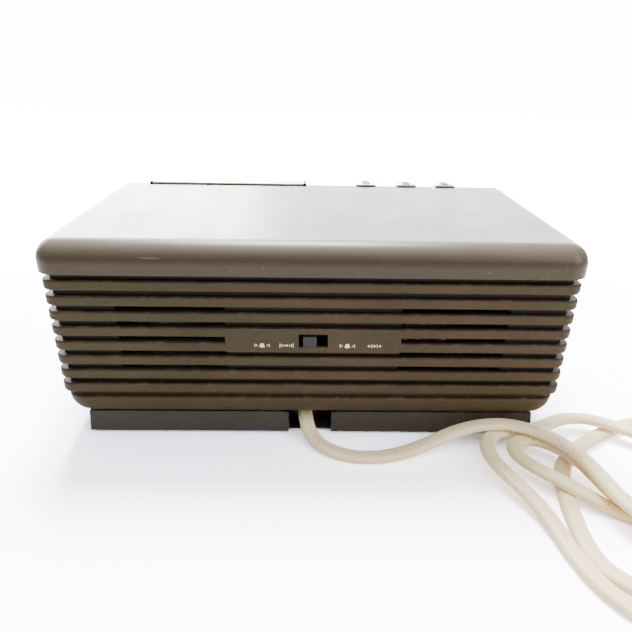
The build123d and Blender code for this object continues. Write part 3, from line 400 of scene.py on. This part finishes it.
def smoked_acrylic():
    f = Finish("smoked_acrylic")
    haze = f.between(f.cloud(70.0, 4.0), 0.3, 0.7, 0.0, 0.02)
    tone = f.blend(f.between(f.cloud(9.0), 0.3, 0.7), (0.12, 0.10, 0.095, 1), (0.15, 0.12, 0.11, 1))
    return f.done(Base_Color=tone, Roughness=haze, Transmission_Weight=0.92, IOR=1.49)


paint(moulded("bezel_brown", (0.038, 0.027, 0.014), 0.5, 2000.0, 0.00003, gloss_level=0.15), "front_bezel")
paint(smoked_acrylic(), "display_window")
paint(moulded("grille_black", (0.014, 0.013, 0.012), 0.5), "speaker_grille")


def letters(text, middle, high):
    """Printed numbers that face the front."""
    bpy.ops.object.select_all(action="DESELECT")
    bpy.ops.object.text_add(location=(0, 0, 0))
    words = bpy.context.object
    words.data.body = text
    words.data.size = high * 1.4 * MM
    words.data.align_x = "CENTER"
    words.data.align_y = "CENTER"
    words.data.extrude = 0.00003
    words.data.resolution_u = 3
    bpy.ops.object.convert(target="MESH")
    words.rotation_euler = (math.pi / 2, 0, 0)
    words.location = [v * MM for v in middle]
    bpy.ops.object.transform_apply(location=True, rotation=True, scale=True)
    return words


trim = []
for z in TRIM_SIDES:
    trim.append(block("trim_side", (sum(TRIM_ENDS) / 2, TRIM_Y, z), (152.6, TRIM_DEEP, TRIM_WIDE)))
for x in TRIM_ENDS:
    trim.append(block("trim_end", (x, TRIM_Y, sum(TRIM_SIDES) / 2), (TRIM_WIDE, TRIM_DEEP, 55.3)))
trim_silver = plated("trim_silver", (0.74, 0.72, 0.68), 0.22, (0.1, 1.0, 1.0))
join(trim, "window_trim", trim_silver, "case")

# ======== keys ===========================================================================
# A long snooze bar and three keys, plated plastic worn soft at the edges, each on springs over
# a tact switch on a strip of paper laminate. The bar has black end caps that stand in for the
# shade at its ends, as painted shade, and each key has a black rib.
KEY_TOP = 105.0
KEY_Y = -56.0
key_plate = plated("key_plating", (0.86, 0.86, 0.87), 0.16, (0.2, 1.0, 1.0), 0.2)
key_cap = moulded("cap_black", (0.012, 0.012, 0.014), 0.35)
paint(key_plate, "snooze_bar", "hour_button", "minute_button", "alarm_button")
end_shade_caps = []
# Black caps at the bar's ends, painted shade: they stand in for the dark gaps at its ends.
for x in (5.0, 102.0):
    end_shade_caps.append(block("cap", (x, KEY_Y, 104.0), (2.2, 10.5, 2.2), 0.0005))
join(end_shade_caps, "snooze_end_shade", key_cap, "snooze")
for key, x in (("hour", -34.0), ("minute", -59.7), ("alarm", -84.5)):
    rib = block(key + "_rib", (x, KEY_Y, KEY_TOP), (4.6, 9.0, 0.9), 0.0003)
    join([rib], key + "_rib", key_cap, key + "_key")
paint(plated("spring_bright", (0.60, 0.60, 0.62), 0.25), "snooze_spring", "hour_spring", "minute_spring",
      "alarm_spring")
for key, x in (("snooze", 0.0535), ("hour", -0.034), ("minute", -0.0597), ("alarm", -0.0845)):
    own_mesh(nodes[key + "_spring"])
paint(moulded("tact_black", (0.015, 0.015, 0.016), 0.4), "tact_switches")


def laminate_board():
    """Paper laminate: brown with fibres, and green-brown copper runs showing through."""
    f = Finish("paper_laminate")
    fibre = f.cloud(700.0, 4.0, 0.6, (1.0, 0.25, 1.0))
    tone = f.blend(f.between(fibre, 0.3, 0.7), (0.20, 0.115, 0.040, 1), (0.27, 0.165, 0.065, 1))
    cells = f.node("ShaderNodeTexVoronoi", {"feature": "DISTANCE_TO_EDGE"},
                   {"Vector": f.place, "Scale": 140.0})
    tone = f.blend((cells < 0.1) * 0.5, tone, (0.10, 0.13, 0.045, 1))
    gloss = f.between(fibre, 0.3, 0.7, 0.4, 0.55)
    return f.done(Base_Color=tone, Roughness=gloss, Normal=f.relief(fibre, 0.00003))


paint(laminate_board(), "key_board", "main_board", "clock_board")

# ======== knobs and the dial drive ===============================================================
# Fluted knobs with a white line, a printed dial plate, a cord loop from the tuning drum round
# two nylon pulleys, and a red pointer that it pulls along a steel rail. Below the dial are two
# black levers, and the back switch has its slider in the same plastic.
NUMBER_Y = -57.66
TICK_Y = -57.65
TICKS = 31
TICK_STEP = 4.0
NUMBER_STEP = 22.0
knob_brown = moulded("knob_brown", (0.020, 0.015, 0.010), 0.45, 2400.0, 0.00002, 0.1, 0.5, gloss_level=0.15)
paint(knob_brown, "volume_knob", "tuning_knob")
print_white = moulded("printed_white", (0.80, 0.79, 0.74), 0.5, 1200.0, 0.00001, 0.05, 0.0, 0.0)
for knob, x in (("volume", 96.0), ("tuning", 60.0)):
    line_mark = block("line", (x, -73.72, 31.8), (0.8, 0.3, 4.8), 0.00008, 1)
    join([line_mark], knob + "_line", print_white, knob)
paint(plated("bush_zinc", (0.55, 0.55, 0.56), 0.35), "volume_pot", "tuning_bush")
dial_black = moulded("dial_black", (0.006, 0.006, 0.007), 0.6, 2400.0, 0.00002, 0.1, 0.1, gloss_level=0.1)
paint(dial_black, "dial_plate")
scale = []
for row, marks in ((39.6, "88 92 96 100 104 108"), (31.8, "54 60 70 90 120 160")):
    for step, number in enumerate(marks.split()):
        scale.append(letters(number, (-91.0 + NUMBER_STEP * step, NUMBER_Y, row), 2.9))
for step in range(TICKS):
    tall = 1.8 if step % 5 == 0 else 0.9
    for row in (36.6, 34.6):
        scale.append(block("tick", (-96.0 + TICK_STEP * step, TICK_Y, row), (0.35, 0.08, tall), 0.00001, 1))
join(scale, "dial_scale", print_white, "case")
paint(plated("rail_steel", (0.66, 0.66, 0.67), 0.18, (0.1, 1.0, 1.0), 0.1), "pointer_rail")
paint(moulded("pointer_red", (0.62, 0.035, 0.02), 0.35, 2400.0, 0.00001, 0.08, 0.1), "dial_pointer")
pulley_nylon = moulded("pulley_nylon", (0.62, 0.60, 0.53), 0.4, 2400.0, 0.00002, 0.08, 0.1)
paint(pulley_nylon, "pulley_left", "pulley_right")
slider_black = moulded("slider_black", (0.014, 0.014, 0.015), 0.42, 2400.0, 0.00003, 0.1, 0.6)
paint(slider_black, "band_lever", "mode_lever", "alarm_switch_knob")
paint(moulded("switch_well", (0.004, 0.004, 0.004), 0.6), "alarm_switch_body")


def wound(name, colour, dark, pitch, axis_number, rough=0.6):
    """Thread or wire laid in close turns across an axis."""
    f = Finish(name)
    turns = f.node("ShaderNodeMath", {"operation": "SINE"}, {0: f.axis(axis_number) * (2 * math.pi / pitch)})
    tone = f.blend(f.between(turns, -0.6, 0.6), shade(dark), shade(colour))
    tone = f.blend(f.between(f.cloud(300.0), 0.4, 0.7, 0.0, 0.3), tone, shade(colour, 0.6))
    return f.done(Base_Color=tone, Roughness=f.between(f.cloud(200.0), 0.3, 0.7, rough - 0.1, rough + 0.1),
                  Normal=f.relief(turns, pitch * 0.2))


paint(wound("dial_thread", (0.55, 0.50, 0.38), (0.25, 0.22, 0.16), 0.0008, 0), "dial_string")

# ======== clock display ==========================================================================
# A red filter block with four seven-segment figures and a colon, lit orange-red.
filter_red = moulded("filter_red", (0.030, 0.004, 0.003), rough=0.2, grain=2400.0, deep=0.00001, mottle=0.05,
                     wear=0.0, dust=0.0, gloss_level=0.5)
paint(filter_red, "led_display")
FIGURE_Y = -56.75
FIGURE_Z = 67.0
SEGMENTS = {"0": "abcdef", "1": "bc", "2": "abged"}
# each segment's place from the middle of its figure, and whether it lies flat
PLACES = {"a": (0, 8.2, 1), "g": (0, 0, 1), "d": (0, -8.2, 1), "f": (-4.9, 4.1, 0),
          "b": (4.9, 4.1, 0), "e": (-4.9, -4.1, 0), "c": (4.9, -4.1, 0)}
figures = []
for number, middle_x in zip("1200", (-67.0, -50.0, -26.0, -9.0)):
    for segment in SEGMENTS[number]:
        dx, dz, flat = PLACES[segment]
        size = (8.0, 0.5, 1.7) if flat else (1.7, 0.5, 6.6)
        figures.append(block("segment", (middle_x + dx, FIGURE_Y, FIGURE_Z + dz), size, 0.0002, 1))
for dz in (-3.5, 3.5):
    figures.append(block("colon", (-38.0, FIGURE_Y, FIGURE_Z + dz), (1.9, 0.5, 1.9), 0.0004))
lit = Finish("segment_glow")
glow_tone = lit.blend(lit.between(lit.cloud(500.0), 0.3, 0.7), (1.0, 0.07, 0.015, 1), (1.0, 0.11, 0.02, 1))
lit_red = lit.done(Base_Color=(0.5, 0.03, 0.01, 1), Emission_Color=glow_tone, Emission_Strength=16.0,
                   Roughness=0.4)
join(figures, "time_figures", lit_red, "case")

# ======== boards and what stands on them =========================================================
# Radio board parts, mains transformer on the pan, loudspeaker behind the grille, and the ferrite
# rod aerial under the lid. They show only as dark shapes through the vents.
paint(moulded("sleeve_blue", (0.012, 0.03, 0.09), 0.3), "electrolytics")
paint(plated("can_aluminium", (0.66, 0.66, 0.67), 0.35), "if_cans")
paint(moulded("gang_plastic", (0.5, 0.5, 0.46), 0.3), "tuning_capacitor")
paint(plated("fin_anodised", (0.12, 0.12, 0.13), 0.45), "audio_chip")
paint(wound("core_stampings", (0.10, 0.09, 0.08), (0.02, 0.02, 0.02), 0.001, 1, 0.45), "transformer_core")
paint(moulded("winding_tape", (0.42, 0.30, 0.06), 0.35), "transformer_winding")
paint(plated("basket_zinc", (0.40, 0.40, 0.41), 0.4), "speaker_frame")
paint(moulded("cone_paper", (0.018, 0.017, 0.016), 0.85, 700.0, 0.00015), "speaker_cone")
paint(moulded("magnet_ferrite", (0.03, 0.03, 0.032), 0.6, 900.0, 0.00006), "speaker_magnet")
paint(moulded("rod_ferrite", (0.02, 0.02, 0.022), 0.55, 900.0, 0.00006), "ferrite_rod")
paint(wound("aerial_wire", (0.45, 0.22, 0.07), (0.16, 0.07, 0.02), 0.0005, 0), "antenna_coil")
# The nylon rod holder is painted dark, as painted shade, so that it reads as the shade inside the case.
paint(moulded("holder_nylon_shaded", (0.10, 0.095, 0.08), 0.5), "rod_holder")

# ======== marks at the back switch ===============================================================
# Four small white symbols printed on the flat panel beside the slider: a bell and a sound wave
# on one side, a bell and a row of dots on the other. They hold no lettering.
PANEL = 72.44
MARK_Z = 54.8
WAVE_X = 12.5
DOTS_X = -28.8
ink = moulded("panel_ink", (0.74, 0.72, 0.66), 0.55, 1500.0, 0.00001, 0.12, 0.0, 0.0)


def disc(name, x, z, radius, half=False):
    """A printed disc or half disc on the back panel."""
    bpy.ops.object.select_all(action="DESELECT")
    bpy.ops.mesh.primitive_circle_add(vertices=28, radius=radius * MM, fill_type="NGON")
    piece = bpy.context.object
    piece.name = name
    bpy.ops.object.mode_set(mode="EDIT")
    bpy.ops.mesh.select_all(action="SELECT")
    if half:
        bpy.ops.mesh.bisect(plane_co=(0, 0, 0), plane_no=(0, 1, 0), clear_inner=True, use_fill=False)
    bpy.ops.object.mode_set(mode="OBJECT")
    thick = piece.modifiers.new("ink_film", "SOLIDIFY")
    thick.thickness = 0.00006
    bpy.ops.object.modifier_apply(modifier=thick.name)
    piece.rotation_euler = (math.pi / 2, 0, math.pi)
    piece.location = (x * MM, PANEL * MM, z * MM)
    bpy.ops.object.transform_apply(location=True, rotation=True, scale=True)
    return piece


def bar(x, z, wide, tall):
    return block("ink_bar", (x, PANEL, z), (wide, 0.06, tall), 0.00001, 1)


marks = []
for x in (24.0, -16.0):
    marks += [disc("bell_dome", x, 54.9, 1.0, half=True), bar(x, 54.6, 2.0, 0.7), bar(x, 54.1, 2.8, 0.28)]
    marks += [disc("bell_clapper", x, 53.75, 0.3)]
    for side in (-1, 1):
        marks += [bar(x + side * 2.5, MARK_Z, 0.32, 0.9), bar(x + side * 3.4, MARK_Z, 0.32, 1.6)]
marks.append(disc("wave_middle", WAVE_X, MARK_Z, 0.5))
for side in (-1, 1):
    for ring in range(3):
        marks.append(bar(WAVE_X + side * (1.3 + 0.9 * ring), MARK_Z, 0.32, 0.9 + 0.55 * ring))
for step in (-1, 0, 1):
    marks.append(disc("pulse_dot", DOTS_X + 2.6 * step, MARK_Z, 0.55))
for step in (-1, 1):
    marks.append(bar(DOTS_X + 1.3 * step, MARK_Z, 0.32, 1.8))
join(marks, "switch_marks", ink, "case")

# ======== flat flex ==============================================================================
# Two-core flat flex in ivory vinyl, yellowed and marked with age, moulded on to its plug. It
# leaves through a rubber grommet in the pocket, and the spare length is coiled with a tie.
FLEX_WIDE = 7.4
FLEX_HIGH = 4.4
LOW = FLEX_HIGH / 2 + 0.1
MIDDLE = LOW + FLEX_HIGH + 0.3
HIGH = MIDDLE + FLEX_HIGH + 0.6
COIL_X = -272.0
COIL_Y = 118.0
COIL_R = 38.0
EDGE_ROUND = 0.72
FLAT_ROUND = 0.86
WAIST_DEEP = 0.07
WAIST_WIDE = 0.22
EXIT = (3.5, 58.0, 8.3)
PLUG = (-296.0, 66.0, 8.2)

ROUTE = [
    # out of the pocket, down to the table and along the back
    EXIT, (3.1, 65.5, 7.6), (1.2, 73, 5.4), (-4, 80.5, 3.2), (-14, 86.5, LOW),
    (-27, 89, LOW), (-42, 87, 2.8), (-57, 81.5, 5.0), (-71, 76, 8.5),
    # over the other turns, then the outer turn
    (-85, 73.5, 11.0), (-98, 74, HIGH), (-110, 79, HIGH), (-119, 87.5, HIGH), (-124.5, 98.5, HIGH),
    (-127, 111, HIGH), (-129, 125, HIGH), (-135, 139, HIGH), (-148, 151, 9.0), (-166, 157, 4.0),
    (-186, 153, LOW), (-203, 140, LOW), (-214, 121, LOW), (-217, 99, LOW), (-210, 78, LOW),
    (-195, 63, LOW), (-176, 58.5, LOW),
    # lowest turn, under the rest
    (-159, 64, LOW), (-144, 73, LOW), (-130, 82.5, LOW), (-119.5, 94, LOW), (-114.5, 107, LOW),
    (-111.5, 122, LOW), (-109.6, 137, LOW), (-110, 149, LOW), (-115, 158, LOW), (-124, 163, LOW),
    (-134.5, 163, LOW), (-143.2, 158, LOW), (-148.2, 149, LOW), (-148, 138.5, LOW),
    (-141.5, 129.5, LOW), (-128.5, 121.5, 2.6), (-113.5, 111, MIDDLE),
    # small turn, tight behind the case
    (-104, 102, MIDDLE), (-98, 93, MIDDLE), (-98, 86.3, MIDDLE), (-101.6, 81.8, MIDDLE),
    (-107, 80, MIDDLE), (-113, 81.3, MIDDLE), (-120, 86.5, MIDDLE), (-125.5, 95, MIDDLE),
    (-128.7, 106, MIDDLE), (-131, 118, MIDDLE), (-138, 128, MIDDLE), (-149.5, 133, MIDDLE),
    (-162, 131, MIDDLE), (-172, 122.5, MIDDLE), (-177.5, 110, MIDDLE), (-177, 96, MIDDLE),
    (-171.5, 83.5, MIDDLE), (-163, 73.5, MIDDLE),
    # wide turn beside the case
    (-152.5, 65.5, MIDDLE), (-141, 61.5, MIDDLE), (-129.5, 63, MIDDLE), (-119, 69.5, MIDDLE),
    (-108.5, 72.8, MIDDLE), (-97.5, 73.5, MIDDLE), (-90, 77, MIDDLE), (-85.8, 83.5, MIDDLE),
    (-84.8, 91.5, MIDDLE), (-86.5, 100.5, MIDDLE), (-91, 109.5, 6.6), (-96.5, 120, 5.0),
    (-100.5, 132, 3.2), (-102.5, 147, LOW), (-107.5, 163, LOW), (-119, 176, LOW), (-136, 183.5, LOW),
    (-156, 184.5, LOW), (-177, 180, LOW), (-200, 171, LOW), (-224, 162.5, LOW),
    (-246, 158.5, LOW),
]


def coil_route():
    """Turns of the put-away length: round the outside, then inside, then half a turn on top."""
    points = []
    first = 88.0
    last = 180.0 + 720.0
    steps = 42
    for step in range(steps + 1):
        angle = first + (last - first) * step / steps
        turn = (angle - first) / 360.0
        inward = min(1.0, max(0.0, (turn - 0.85) / 0.3))
        over = min(1.0, max(0.0, (turn - 1.75) / 0.3))
        radius = COIL_R + 3.7 - 7.8 * inward + 3.6 * over
        lift = LOW + over * (FLEX_HIGH + 0.3)
        radians = math.radians(angle)
        points.append((COIL_X + radius * math.cos(radians), COIL_Y + radius * math.sin(radians), lift))
    return points


TAIL = [
    (COIL_X - COIL_R + 1.2, COIL_Y - 14, 7.4), (COIL_X - COIL_R + 5, COIL_Y - 30, 7.8),
    (PLUG[0] - 2, PLUG[1] + 11, PLUG[2]), PLUG,
]


def smooth_line(points):
    """Points along the NURBS spline that has the route's points as its control points."""
    curve = bpy.data.curves.new("route", "CURVE")
    curve.dimensions = "3D"
    spline = curve.splines.new("NURBS")
    spline.points.add(len(points) - 1)
    for target, source in zip(spline.points, points):
        target.co = (source[0] * MM, source[1] * MM, source[2] * MM, 1.0)
    spline.order_u = 3
    spline.use_endpoint_u = True
    spline.resolution_u = 8
    holder = bpy.data.objects.new("route", curve)
    bpy.context.collection.objects.link(holder)
    bpy.context.view_layer.update()
    mesh = bpy.data.meshes.new_from_object(holder)
    line = [vertex.co.copy() for vertex in mesh.vertices]
    bpy.data.objects.remove(holder)
    bpy.data.meshes.remove(mesh)
    return line


def flex_section(count=20):
    """Outline of the flat flex: two round edges and slightly waisted flats, half width on x."""
    half_wide = FLEX_WIDE / 2 * MM
    half_high = FLEX_HIGH / 2 * MM
    outline = []
    for step in range(count):
        angle = 2 * math.pi * step / count
        across = math.copysign(abs(math.cos(angle)) ** EDGE_ROUND, math.cos(angle))
        upward = math.copysign(abs(math.sin(angle)) ** FLAT_ROUND, math.sin(angle))
        waist = 1 - WAIST_DEEP * math.exp(-(across / WAIST_WIDE) ** 2)
        outline.append((half_wide * across, half_high * upward * waist))
    return outline


def build_flex(line):
    """The section carried along the line, its width kept level, with both ends closed."""
    mesh = bmesh.new()
    outline = flex_section()
    rings = []
    for index, here in enumerate(line):
        before = line[max(index - 1, 0)]
        after = line[min(index + 1, len(line) - 1)]
        ahead = (after - before).normalized()
        side = ahead.cross(Vector((0, 0, 1))).normalized()
        lift = side.cross(ahead)
        rings.append([mesh.verts.new(here + side * x + lift * y) for x, y in outline])
    for ring, following in zip(rings, rings[1:]):
        for k in range(len(ring)):
            n = (k + 1) % len(ring)
            mesh.faces.new((ring[k], ring[n], following[n], following[k]))
    mesh.faces.new(list(reversed(rings[0])))
    mesh.faces.new(rings[-1])
    bmesh.ops.recalc_face_normals(mesh, faces=mesh.faces)
    data = bpy.data.meshes.new("flex")
    mesh.to_mesh(data)
    mesh.free()
    for face in data.polygons:
        face.use_smooth = True
    flex = bpy.data.objects.new("flex", data)
    bpy.context.collection.objects.link(flex)
    return flex


def aged_ivory():
    """Ivory vinyl: yellowed patches, rubbed-in dirt and small dark marks."""
    f = Finish("aged_ivory")
    age = f.between(f.cloud(30.0, 4.0), 0.35, 0.68)
    tone = f.blend(age, (0.97, 0.83, 0.55, 1), (0.92, 0.72, 0.40, 1))
    grime = f.between(f.cloud(130.0, 5.0, 0.7), 0.55, 0.75, 0.0, 0.42)
    tone = f.blend(grime, tone, (0.58, 0.40, 0.20, 1))
    patch = f.between(f.cloud(17.0, 2.0), 0.48, 0.58)
    spot = f.between(f.cloud(430.0, 3.0), 0.64, 0.69, 0.0, 0.75) * patch
    tone = f.blend(spot, tone, (0.10, 0.08, 0.09, 1))
    gloss = f.between(f.cloud(90.0, 4.0), 0.3, 0.7, 0.32, 0.5)
    bumps = f.relief(f.cloud(900.0, 3.0), 0.00003)
    return f.done(Base_Color=tone, Roughness=gloss, Normal=bumps, Subsurface_Weight=0.1,
                  Subsurface_Radius=(0.004, 0.003, 0.002))


ivory = aged_ivory()
line = smooth_line(ROUTE + coil_route() + TAIL)
flex = build_flex(line)
flex.data.materials.append(ivory)
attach(flex, "case")
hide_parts("power_cord", "cord_tail", "cord_coil")

# Paper-covered wire tie round the coil: a block with an opening through it
tie = block("coil_tie", (COIL_X + COIL_R, COIL_Y, 5.6), (18.6, 3.4, 11.1), 0.0012, 3)
bpy.ops.object.mode_set(mode="EDIT")
tie_mesh = bmesh.from_edit_mesh(tie.data)
for face in tie_mesh.faces:
    face.select = abs(face.normal.y) > 0.99
bmesh.update_edit_mesh(tie.data)
bpy.ops.mesh.inset(thickness=0.0004)
bpy.ops.mesh.bridge_edge_loops()
bpy.ops.object.mode_set(mode="OBJECT")
tie_paper = moulded("tie_paper", (0.55, 0.54, 0.50), 0.8, 900.0, 0.0001)
join([tie], "coil_tie", tie_paper, "case")
paint(ivory, "plug_body")
paint(plated("blade_brass", (0.74, 0.60, 0.30), 0.25, (1.0, 0.1, 1.0), 0.3), "plug_blades")
paint(moulded("grommet_rubber", (0.014, 0.014, 0.014), 0.7, 900.0, 0.00005), "strain_relief")
